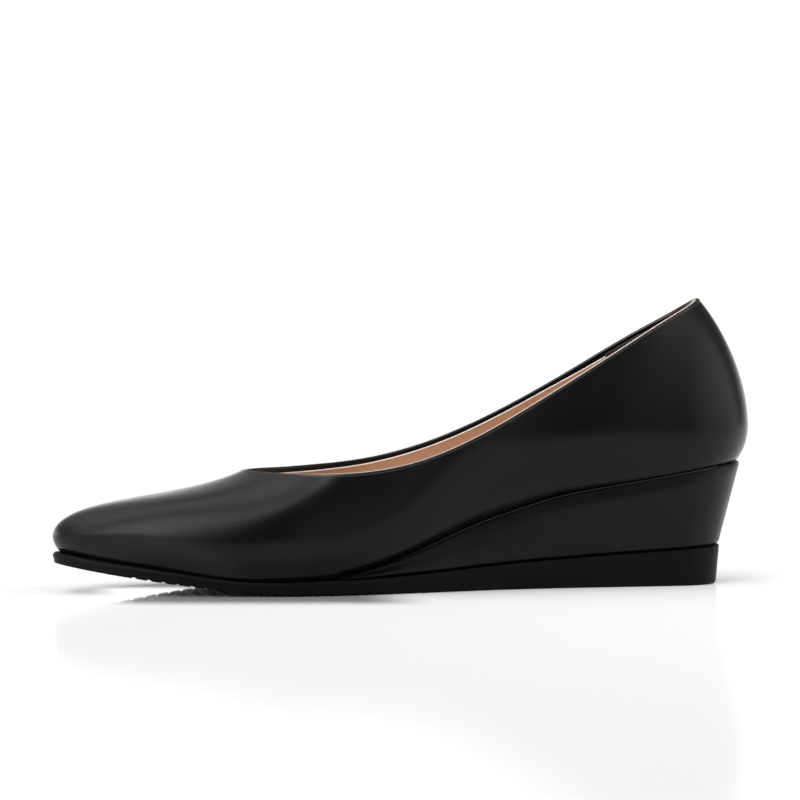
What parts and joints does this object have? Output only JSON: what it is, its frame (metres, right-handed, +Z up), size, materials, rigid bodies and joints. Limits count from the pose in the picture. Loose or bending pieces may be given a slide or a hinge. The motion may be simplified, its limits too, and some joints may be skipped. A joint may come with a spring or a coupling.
{
  "type": "low wedge court shoe",
  "caption": "Left slip-on court shoe with a low-cut hollow leather upper, a covered low wedge, a ribbed rubber outsole and a tan insole.",
  "frame": {"origin": "middle of the shoe's bounding box in plan, on the floor that the sole stands on", "axes": "+X from the toe to the heel along the shoe, +Y to the medial (inner) side, +Z up"},
  "size_m": [0.2516, 0.0794, 0.1036],
  "materials": {
    "outsole_rubber": "matte moulded black rubber",
    "wedge_cover": "smooth black leather, satin",
    "upper_leather": "smooth black leather with a fine grain, satin",
    "insole_sock": "plain tan lining leather, matte"
  },
  "bodies": {
    "root": {"outsole": "outsole_rubber", "wedge": "wedge_cover", "upper": "upper_leather", "insole": "insole_sock"}
  },
  "joints": []
}
